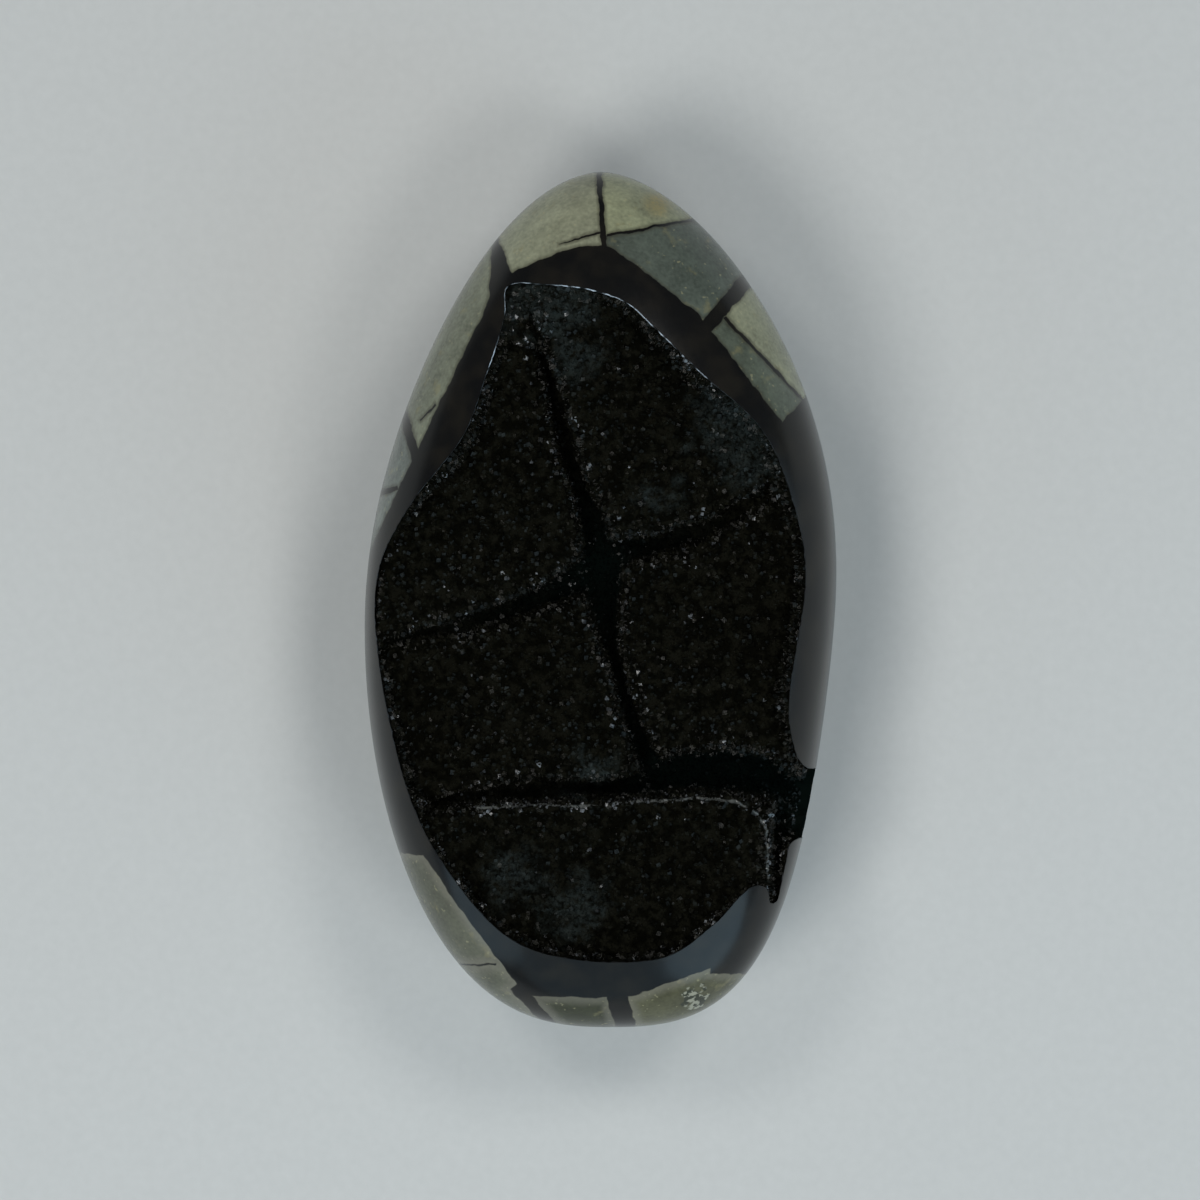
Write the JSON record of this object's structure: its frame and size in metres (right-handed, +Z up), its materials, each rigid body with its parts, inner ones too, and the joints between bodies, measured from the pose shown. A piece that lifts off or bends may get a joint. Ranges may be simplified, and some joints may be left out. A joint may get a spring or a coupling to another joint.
{
  "type": "septarian nodule",
  "caption": "Egg-shaped polished septarian nodule lying on its back, with an open hollow in its front where black calcite crystals coat blocks parted by deep cracks.",
  "frame": {"origin": "on the surface that the nodule rests on, below the middle of its bounding box", "axes": "+Y along the egg towards its pointed end, +Z up out of the crystal-lined hollow, X across"},
  "size_m": [0.0716, 0.13, 0.0447],
  "materials": {
    "mudstone_and_calcite": "polished grey-green mudstone crossed by polished brown-black calcite",
    "black_calcite_crystals": "glossy black crystal faces"
  },
  "bodies": {
    "root": {"nodule": "mudstone_and_calcite", "crystal_crust": "black_calcite_crystals"}
  },
  "joints": []
}
